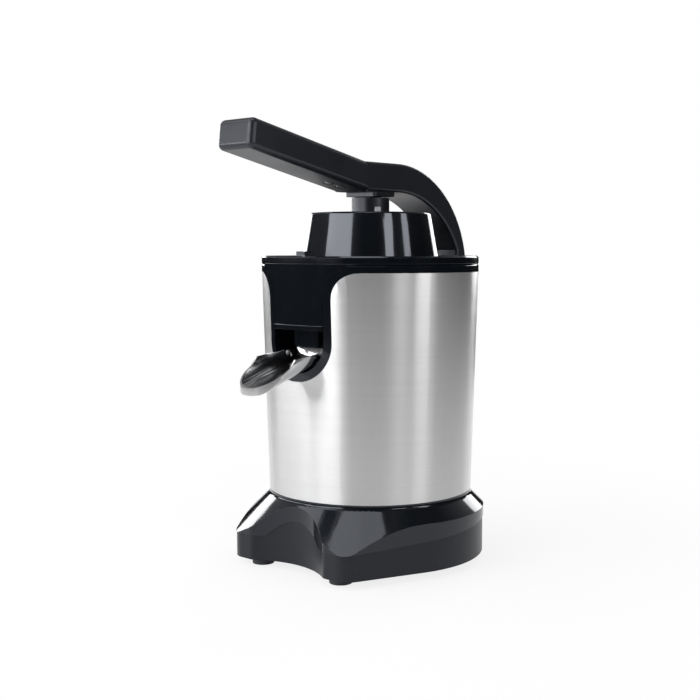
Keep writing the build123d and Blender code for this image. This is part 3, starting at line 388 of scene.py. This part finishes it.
def linked(name, mesh):
    """A new object in the scene."""
    piece = bpy.data.objects.new(name, mesh)
    bpy.context.scene.collection.objects.link(piece)
    return piece


def settled(piece):
    """Turns a piece with modifiers into a plain mesh."""
    graph = bpy.context.evaluated_depsgraph_get()
    mesh = bpy.data.meshes.new_from_object(piece.evaluated_get(graph), depsgraph=graph)
    piece.modifiers.clear()
    piece.data = mesh
    return piece


merge_gap = 1e-6
flat_angle = math.radians(0.2)
soft_angle = math.radians(32)


def softened(node, width, share=None):
    """A merged copy of a CAD node with smooth faces and soft edges, which stands for the node."""
    mesh = frame["nodes"][node].data.copy()
    mesh.name = node + "_form"
    form = bmesh.new()
    form.from_mesh(mesh)
    bmesh.ops.remove_doubles(form, verts=form.verts, dist=merge_gap)
    bmesh.ops.dissolve_limit(form, angle_limit=flat_angle, verts=form.verts, edges=form.edges)
    for face in form.faces:
        face.smooth = True
    weight = form.edges.layers.float.new("bevel_weight_edge")
    for edge in form.edges:
        if edge.is_manifold and edge.calc_face_angle() > soft_angle:
            edge[weight] = share(edge) if share else 1.0
    form.to_mesh(mesh)
    form.free()
    mesh.materials.clear()
    mesh.materials.append(finishes[slots[node]])
    piece = linked(node + "_form", mesh)
    bevel = piece.modifiers.new("soft edges", "BEVEL")
    bevel.limit_method = "WEIGHT"
    bevel.width = width
    bevel.segments = 3 if share else 2
    bevel.miter_outer = "MITER_ARC"
    bevel.harden_normals = True
    normals = piece.modifiers.new("face normals", "WEIGHTED_NORMAL")
    normals.keep_sharp = True
    return stand_in(settled(piece), node)


def lumps(node):
    """The corners of each separate lump of a CAD node."""
    form = bmesh.new()
    form.from_mesh(frame["nodes"][node].data)
    bmesh.ops.remove_doubles(form, verts=form.verts, dist=merge_gap)
    met, found = set(), []
    for start in form.verts:
        if start in met:
            continue
        met.add(start)
        reached = [start]
        for corner in reached:
            near = [edge.other_vert(corner) for edge in corner.link_edges]
            fresh = [other for other in near if other not in met]
            met.update(fresh)
            reached.extend(dict.fromkeys(fresh))
        found.append([corner.co.copy() for corner in reached])
    form.free()
    return found


first_way = Vector((0.2, 0.3, 1.0))
way_rounds = 40
end_gap = 1e-4


def screw_place(corners):
    """Where a screw's head ends, the way it faces and the screw's length."""
    middle = sum(corners, Vector()) / len(corners)
    arms = [corner - middle for corner in corners]
    way = first_way
    for _ in range(way_rounds):
        way = sum((arm * arm.dot(way) for arm in arms), Vector()).normalized()

    def girth(end):
        tip = max(arm.dot(end) for arm in arms)
        return max((arm - end * arm.dot(end)).length for arm in arms if arm.dot(end) > tip - end_gap)

    if girth(way) < girth(-way):
        way = -way
    ends = [arm.dot(way) for arm in arms]
    return middle + way * max(ends), way, max(ends) - min(ends)


head_corners = 32
shank_corners = 20
dome_share = 0.68
crease_angle = math.radians(30)


def screw_tree():
    """Geometry nodes that set a cross-headed screw on each point, its head along the point's turn."""
    tree = bpy.data.node_groups.new("screws", "GeometryNodeTree")
    face = tree.interface
    face.new_socket("Points", in_out="INPUT", socket_type="NodeSocketGeometry")
    sizes = ("Head radius", "Head height", "Shank radius", "Shank length", "Recess width", "Recess depth")
    for name in sizes:
        face.new_socket(name, in_out="INPUT", socket_type="NodeSocketFloat")
    face.new_socket("Finish", in_out="INPUT", socket_type="NodeSocketMaterial")
    face.new_socket("Screws", in_out="OUTPUT", socket_type="NodeSocketGeometry")
    made = Tree(tree)
    given = tree.nodes.new("NodeGroupInput")
    ask = {name: Value(made, given.outputs[name]) for name in ("Points", *sizes, "Finish")}

    def up(height):
        return made.node("ShaderNodeCombineXYZ", {}, {"Z": height})

    def moved(mesh, height):
        return made.node("GeometryNodeTransform", {}, {"Geometry": mesh, "Translation": up(height)})

    radius, height, deep = ask["Head radius"], ask["Head height"], ask["Recess depth"]
    half = height * 0.5
    inputs = {"Vertices": head_corners, "Radius": radius, "Depth": half}
    rim = made.node("GeometryNodeMeshCylinder", {}, inputs)
    top = radius * dome_share
    inputs = {"Vertices": head_corners, "Radius Top": top, "Radius Bottom": radius, "Depth": half}
    dome = made.node("GeometryNodeMeshCone", {}, inputs)
    head = made.node("GeometryNodeMeshBoolean", {"operation": "UNION"})
    union = head.socket.node.inputs["Mesh"]
    for shell in (moved(rim, height * 0.25), moved(dome, half)):
        tree.links.new(shell.socket, union)
    cut = made.node("GeometryNodeMeshBoolean", {"operation": "DIFFERENCE"}, {"Mesh 1": head})
    arm, thin = radius * 1.1, ask["Recess width"]
    for across, along in ((arm, thin), (thin, arm)):
        size = made.node("ShaderNodeCombineXYZ", {}, {"X": across, "Y": along, "Z": deep * 2})
        bar = made.node("GeometryNodeMeshCube", {}, {"Size": size})
        tree.links.new(moved(bar, height).socket, cut.socket.node.inputs["Mesh 2"])
    long = ask["Shank length"]
    inputs = {"Vertices": shank_corners, "Radius": ask["Shank radius"], "Depth": long}
    shank = made.node("GeometryNodeMeshCylinder", {}, inputs)
    whole = made.node("GeometryNodeJoinGeometry")
    for part in (cut, moved(shank, long * -0.5)):
        tree.links.new(part.socket, whole.socket.node.inputs[0])
    turn = made.node("GeometryNodeInputNamedAttribute", {"data_type": "FLOAT_VECTOR"}, {"Name": "turn"})
    turned = made.node("FunctionNodeEulerToRotation", {}, {0: turn})
    inputs = {"Points": ask["Points"], "Instance": whole, "Rotation": turned}
    set_out = made.node("GeometryNodeInstanceOnPoints", {}, inputs)
    real = made.node("GeometryNodeRealizeInstances", {}, {"Geometry": set_out})
    inputs = {"Geometry": real, "Material": ask["Finish"]}
    dressed = made.node("GeometryNodeSetMaterial", {}, inputs)
    output = tree.nodes.new("NodeGroupOutput")
    tree.links.new(dressed.socket, output.inputs["Screws"])
    return tree


class JUICER_OT_screws(bpy.types.Operator):
    """Make the screws with their cross recesses"""

    bl_idname = "juicer.screws"
    bl_label = "Screws"

    def execute(self, context):
        sizes = context.scene.juicer_sizes
        tree = screw_tree()
        for node in ("base_screws", "handle_screws", "gearbox_screws"):
            places = [screw_place(corners) for corners in lumps(node)]
            heads = [tip - way * sizes.head_height for tip, way, _ in places]
            mesh = bpy.data.meshes.new(node + "_form")
            mesh.from_pydata(heads, [], [])
            turns = mesh.attributes.new("turn", "FLOAT_VECTOR", "POINT")
            for mark, (_, way, _) in zip(turns.data, places):
                mark.vector = way.to_track_quat("Z", "Y").to_euler()
            piece = linked(node + "_form", mesh)
            modifier = piece.modifiers.new("screws", "NODES")
            modifier.node_group = tree
            given = {
                "Head radius": sizes.head_radius,
                "Head height": sizes.head_height,
                "Shank radius": sizes.shank_radius,
                "Shank length": places[0][2] - sizes.head_height,
                "Recess width": sizes.recess_width,
                "Recess depth": sizes.recess_depth,
                "Finish": finishes[slots[node]],
            }
            for socket in tree.interface.items_tree:
                if socket.name in given:
                    modifier[socket.identifier] = given[socket.name]
            settled(piece)
            piece.data.shade_smooth()
            piece.data.set_sharp_from_angle(angle=crease_angle)
            stand_in(piece, node)
        return {"FINISHED"}


class JUICER_OT_finishes(bpy.types.Operator):
    """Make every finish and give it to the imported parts"""

    bl_idname = "juicer.finishes"
    bl_label = "Finishes"

    def execute(self, context):
        scene = context.scene
        make_finishes(scene.juicer_sizes, scene.juicer_colours)
        for node in frame["nodes"]:
            dress(node)
        return {"FINISHED"}


class JUICER_OT_moulded_parts(bpy.types.Operator):
    """Soften the edges of the moulded parts that show"""

    bl_idname = "juicer.moulded_parts"
    bl_label = "Moulded parts"

    def execute(self, context):
        sizes = context.scene.juicer_sizes
        nodes = (
            "base_skirt", "base_shell", "bottom_plate", "rubber_feet", "cord_grommet", "upper_collar",
            "juice_collector", "press_cap", "cap_hub", "hub_clip", "lever_arm", "inner_body",
        )
        for node in nodes:
            softened(node, sizes.edge)
        return {"FINISHED"}


mostly_along = 0.7
crosswise_share = 0.7


class JUICER_OT_grip(bpy.types.Operator):
    """Soften the grip's edges where it meets the arm, those along it the most"""

    bl_idname = "juicer.grip"
    bl_label = "Grip"

    def execute(self, context):
        def share(edge):
            way = (edge.verts[0].co - edge.verts[1].co).normalized()
            return 1.0 if abs(way.y) > mostly_along else crosswise_share

        softened("handle_grip", context.scene.juicer_sizes.grip_edge, share)
        return {"FINISHED"}


class JUICER_OT_sheet_parts(bpy.types.Operator):
    """Soften the edges of the sheet metal and thin parts"""

    bl_idname = "juicer.sheet_parts"
    bl_label = "Sheet parts"

    def execute(self, context):
        width = context.scene.juicer_sizes.sheet_edge
        for node in ("steel_sleeve", "spout", "strainer", "cap_liner", "reamer_cone"):
            softened(node, width)
        return {"FINISHED"}


def aimed(piece, target):
    """Turns a lamp or camera to look at a point."""
    piece.rotation_euler = (Vector(target) - piece.location).to_track_quat("-Z", "Y").to_euler()


# Each lamp's turn from the camera in degrees, distance, height, size, power and share of that power.
lamps = (
    ("key lamp", -95, 1.4, 0.33, (1.6, 0.16), "key_power", 1.0),
    ("low front lamp", -46, 1.4, 0.33, (0.75, 0.16), "key_power", 0.5),
    ("high lamp", -82, 1.1, 1.35, (1.3, 0.6), "high_power", 1.0),
    ("front lamp", -57, 1.2, 0.69, (1.1, 0.3), "front_power", 1.0),
    ("near side lamp", 33, 1.2, 0.69, (0.34, 0.3), "side_power", 1.0),
    ("far side lamp", 66, 1.2, 0.69, (0.28, 0.3), "side_power", 0.7),
    ("low side lamp", 55, 1.4, 0.43, (0.36, 0.24), "side_power", 0.8),
    ("back left lamp", -152, 1.4, 0.4, (0.7, 0.3), "back_power", 0.8),
    ("back lamp", 148, 1.2, 0.5, (0.5, 0.6), "back_power", 1.0),
    ("top lamp", -30, 0.3, 1.4, (0.7, 0.7), "top_power", 1.0),
)
lamp_target = 0.16

floor_reach = 1.1
floor_corners = 96
# The floor's own white takes over from its shadows: from and to distances, and the shares there.
floor_fade = (0.15, 0.6, 0.82, 1.0)
floor_mirror = 0.6

# What mirrors see of the room: brightness round the horizon from behind the camera, in shares of a turn.
room_bands = (
    (0.0, 0.15), (0.12, 0.4), (0.30, 0.45), (0.40, 0.3), (0.46, 0.05), (0.54, 0.05), (0.57, 0.15),
    (0.61, 0.1), (0.66, 0.2), (0.72, 0.06), (0.80, 0.06), (0.88, 0.35), (0.97, 0.15),
)
# The bands dim towards the horizon: from and to heights, and the shares there.
room_rise = (0.1, 0.4, 0.03, 1.0)


class JUICER_OT_stage(bpy.types.Operator):
    """Set up the floor, the lamps, the room and the camera"""

    bl_idname = "juicer.stage"
    bl_label = "Stage"

    def execute(self, context):
        stage = context.scene.juicer_stage
        context.scene.view_settings.view_transform = "Standard"
        self.floor()
        self.camera(context, stage)
        for name, turn, distance, height, size, source, share in lamps:
            self.lamp(name, self.spot(stage, turn, distance, height), size, getattr(stage, source) * share)
        self.room(context, stage)
        return {"FINISHED"}

    def spot(self, stage, turn, distance, height):
        bearing = stage.azimuth + math.radians(turn)
        return Vector((math.sin(bearing) * distance, -math.cos(bearing) * distance, height))

    def camera(self, context, stage):
        data = bpy.data.cameras.new("photo camera")
        data.lens = stage.lens
        data.sensor_width = 36.0
        data.shift_x = stage.shift_x
        data.shift_y = stage.shift_y
        data.clip_start = 0.01
        camera = linked("photo camera", data)
        camera.location = self.spot(stage, 0, stage.distance, stage.height)
        drop = stage.distance * math.tan(stage.tilt)
        aimed(camera, (0, 0, stage.height - drop))
        context.scene.camera = camera

    def lamp(self, name, place, size, watts):
        data = bpy.data.lights.new(name, "AREA")
        data.shape = "RECTANGLE"
        data.size, data.size_y = size
        data.energy = watts
        lamp = linked(name, data)
        lamp.location = place
        aimed(lamp, (0, 0, lamp_target))

    def floor(self):
        mesh = bpy.data.meshes.new("floor")
        turns = [2 * math.pi * step / floor_corners for step in range(floor_corners)]
        corners = [(floor_reach * math.cos(turn), floor_reach * math.sin(turn), 0) for turn in turns]
        mesh.from_pydata(corners, [], [tuple(range(floor_corners))])
        floor = linked("floor", mesh)
        made = Finish("floor_white", base_color=(0.8, 0.8, 0.8), roughness=0.7)
        camera, mirror, through = made.rays()
        place = made.node("ShaderNodeTexCoord", output=3)
        away = made.node("ShaderNodeVectorMath", {"operation": "LENGTH"}, {0: place}, 1)
        seen = camera * made.ramped(away, *floor_fade) + (mirror + through) * floor_mirror
        glow = made.node("ShaderNodeEmission", {}, {"Color": (1, 1, 1), "Strength": 1.0})
        blend = made.tree.nodes.new("ShaderNodeMixShader")
        made.feed(blend.inputs[0], seen)
        made.tree.links.new(made.surface.outputs[0], blend.inputs[1])
        made.tree.links.new(glow.socket, blend.inputs[2])
        output = next(n for n in made.tree.nodes if n.type == "OUTPUT_MATERIAL")
        made.tree.links.new(blend.outputs[0], output.inputs[0])
        mesh.materials.append(made.material)

    def room(self, context, stage):
        world = bpy.data.worlds.new("room")
        world.use_nodes = True
        context.scene.world = world
        tree = Tree(world.node_tree)
        world.node_tree.nodes.clear()
        camera, mirror, through = tree.rays()
        way = tree.tree.nodes.new("ShaderNodeSeparateXYZ")
        tree.feed(way.inputs[0], tree.node("ShaderNodeTexCoord", output=0))
        x, y, z = (Value(tree, way.outputs[i]) for i in (0, 1, 2))
        rise = tree.ramped(z, *room_rise)
        bearing = tree.node("ShaderNodeMath", {"operation": "ARCTAN2"}, {0: x, 1: y * -1.0})
        turn = bearing - stage.azimuth
        share = tree.node("ShaderNodeMath", {"operation": "FRACT"}, {0: turn * (0.5 / math.pi) + 1.5})
        bands = tree.node("ShaderNodeValToRGB", {"stops": room_bands}, {0: share})
        shine = tree.node("ShaderNodeMath", {"operation": "MAXIMUM"}, {0: mirror, 1: through})
        level = camera + (1 - camera) * (shine * bands * rise + (1 - shine) * stage.room)
        back = tree.node("ShaderNodeBackground", {}, {"Color": (1, 1, 1), "Strength": level})
        output = tree.tree.nodes.new("ShaderNodeOutputWorld")
        tree.tree.links.new(back.socket, output.inputs[0])


class JUICER_PT_sidebar(bpy.types.Panel):
    """The juicer's sizes, colours, stage and steps"""

    bl_label = "Lever citrus juicer"
    bl_idname = "JUICER_PT_sidebar"
    bl_space_type = "VIEW_3D"
    bl_region_type = "UI"
    bl_category = "Juicer"

    def draw(self, context):
        layout = self.layout
        for step in steps:
            layout.operator(step.bl_idname)
        for group in (context.scene.juicer_sizes, context.scene.juicer_colours, context.scene.juicer_stage):
            box = layout.box()
            for name in group.__annotations__:
                box.prop(group, name)


steps = (
    JUICER_OT_finishes, JUICER_OT_moulded_parts, JUICER_OT_grip, JUICER_OT_sheet_parts, JUICER_OT_screws,
    JUICER_OT_stage,
)
groups = (JuicerSizes, JuicerColours, JuicerStage)


def register():
    for item in (*groups, *steps, JUICER_PT_sidebar):
        bpy.utils.register_class(item)
    bpy.types.Scene.juicer_sizes = PointerProperty(type=JuicerSizes)
    bpy.types.Scene.juicer_colours = PointerProperty(type=JuicerColours)
    bpy.types.Scene.juicer_stage = PointerProperty(type=JuicerStage)


def unregister():
    del bpy.types.Scene.juicer_stage
    del bpy.types.Scene.juicer_colours
    del bpy.types.Scene.juicer_sizes
    for item in (JUICER_PT_sidebar, *reversed(steps), *reversed(groups)):
        bpy.utils.unregister_class(item)


def main():
    register()
    for step in steps:
        getattr(bpy.ops.juicer, step.bl_idname.split(".")[1])()


if __name__ == "__main__":
    main()
